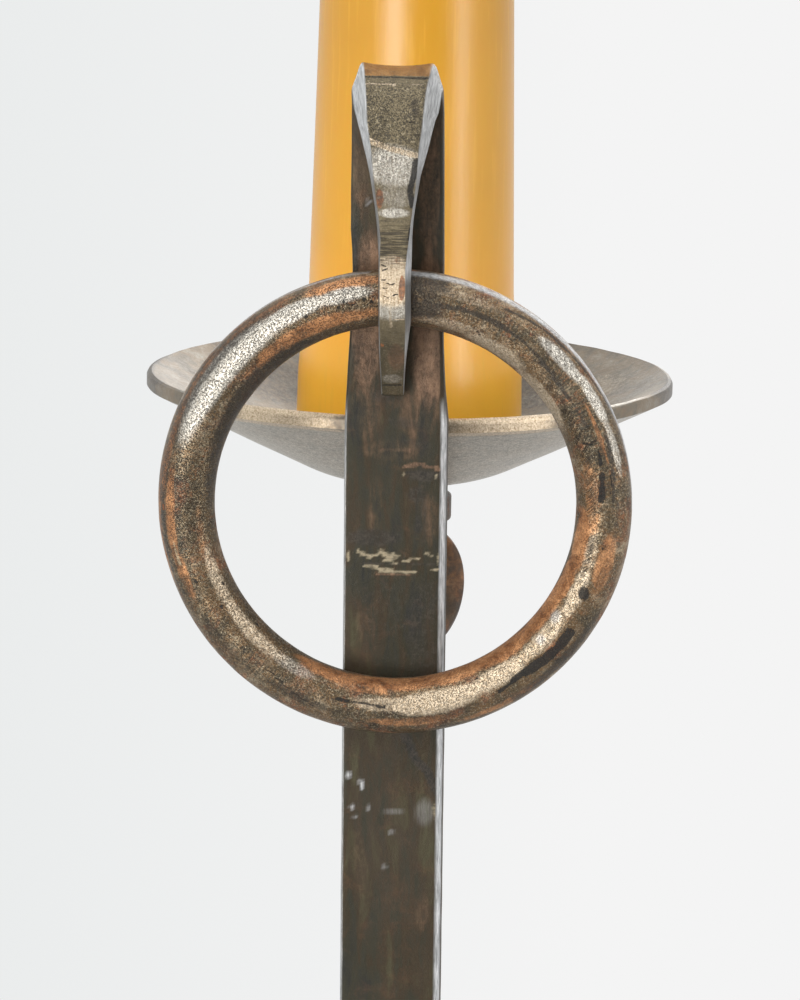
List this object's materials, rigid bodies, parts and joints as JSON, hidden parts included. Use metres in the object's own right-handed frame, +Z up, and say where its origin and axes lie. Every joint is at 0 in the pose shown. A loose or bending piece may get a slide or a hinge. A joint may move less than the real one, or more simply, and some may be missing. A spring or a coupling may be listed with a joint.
{
  "type": "floor lamp",
  "caption": "Forged flat-bar tripod floor lamp: hooked top holding a hanging hand ring, and a curved arm behind it carrying a drip dish, a candle-like sleeve and a bulb.",
  "frame": {"origin": "on the floor, at the centre of the rectangle round the feet", "axes": "+X to the right and +Y to the back as seen from the ring's side, +Z up; the post stands in front of the origin and the candle behind it"},
  "size_m": [0.4608, 0.4167, 1.6398],
  "materials": {
    "forged_iron": "hammered black iron, olive and red-brown in patches, waxed, worn at the edges",
    "worn_iron": "iron rubbed to silver-grey over rust-brown, finely pitted",
    "dark_metal": "dark bronze satin enamel",
    "steel": "zinc-plated, dulled",
    "brass": "bright pressed brass, lightly tarnished",
    "black_plastic": "matt",
    "black_glass": "glossy black glass",
    "amber_sleeve": "amber, satin, slightly translucent",
    "porcelain": "glazed white",
    "clear_glass": "clear, smooth",
    "solder": "dull solder",
    "wire": "bare wire"
  },
  "bodies": {
    "frame": {"post": "forged_iron", "arm": "forged_iron", "arm_rivets": "forged_iron", "left_leg": "forged_iron", "right_leg": "forged_iron", "back_leg": "forged_iron", "lower_collar": "forged_iron", "upper_collar": "forged_iron", "dish": "worn_iron", "seat_washer": "forged_iron", "stem_tube": "steel", "pad_washer": "steel", "pad_nut": "steel", "cord_bush": "black_plastic", "dish_washer": "steel", "dish_nut": "steel", "sleeve_seat": "steel", "seat_nut": "steel", "sleeve": "amber_sleeve", "sleeve_cap": "dark_metal", "shade_ring": "dark_metal", "stem_lock_nut": "steel", "holder_dome": "dark_metal", "holder_shell": "dark_metal", "holder_insert": "porcelain", "screw_shell": "brass", "centre_contact": "brass", "terminal_screws": "brass"},
    "ring": {"hand_ring": "worn_iron"},
    "bulb": {"bulb_glass": "clear_glass", "bulb_cap": "brass", "bulb_insulator": "black_glass", "bulb_tip": "solder", "bulb_stem": "clear_glass", "bulb_supports": "wire", "bulb_filament": "wire"}
  },
  "joints": [
    {"name": "ring_swing", "type": "hinge", "parent": "frame", "child": "ring", "pos_m": [0, -0.07109, 1.3835], "axis": [-1, 0, 0], "range_deg": [0, 175]},
    {"name": "bulb_turn", "type": "hinge", "parent": "frame", "child": "bulb", "pos_m": [0, 0.04921, 1.3024], "axis": [0.0079, 0, 1], "continuous": true}
  ]
}
